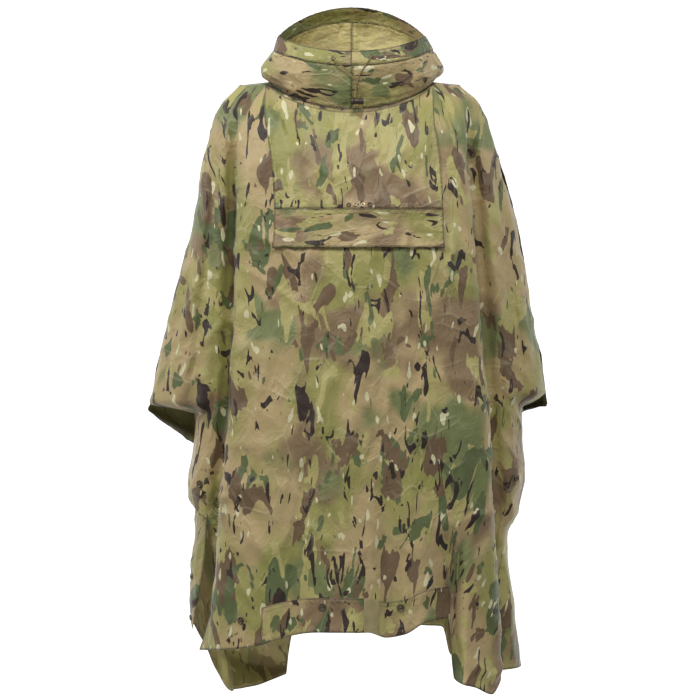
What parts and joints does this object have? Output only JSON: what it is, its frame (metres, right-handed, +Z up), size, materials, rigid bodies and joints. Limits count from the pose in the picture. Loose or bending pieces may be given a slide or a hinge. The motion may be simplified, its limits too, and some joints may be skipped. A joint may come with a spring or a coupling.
{
  "type": "rain poncho",
  "caption": "Hooded pullover rain poncho in camouflage cloth, filled out as worn: open sides with press studs, chest panel with pocket flap, and a drawcord hood.",
  "frame": {"origin": "middle of the shoulder line, level with the top of both shoulders, where the wearer carries the poncho", "axes": "+X to the right as seen from the front, +Y to the back of the garment, +Z up"},
  "size_m": [0.792, 0.4003, 1.4045],
  "materials": {
    "cloth": "thin coated nylon in camouflage, slight satin sheen",
    "webbing": "woven tape",
    "plastic": "dark brown moulded plastic",
    "metal": "dark bronze paint",
    "cord": "braided polyester cord"
  },
  "bodies": {
    "root": {"front_panel": "cloth", "back_panel": "cloth", "chest_panel": "cloth", "pocket_flap": "cloth", "hem_band": "cloth", "hem_tab": "webbing", "hood_left": "cloth", "hood_right": "cloth", "hood_casing": "cloth", "hood_eyelet_left": "metal", "hood_eyelet_right": "metal", "chest_eyelet_1": "metal", "chest_eyelet_2": "metal", "chest_eyelet_3": "metal", "chest_eyelet_4": "metal", "cord_left": "cord", "cord_right": "cord", "cord_lock": "plastic", "cord_knot": "cord", "snap_side_left": "metal", "snap_side_right": "metal", "snap_hem_1": "metal", "snap_hem_2": "metal", "snap_hem_3": "metal", "snap_hem_4": "metal", "snap_edge_1": "metal", "snap_edge_2": "metal", "snap_edge_3": "metal"}
  },
  "joints": []
}
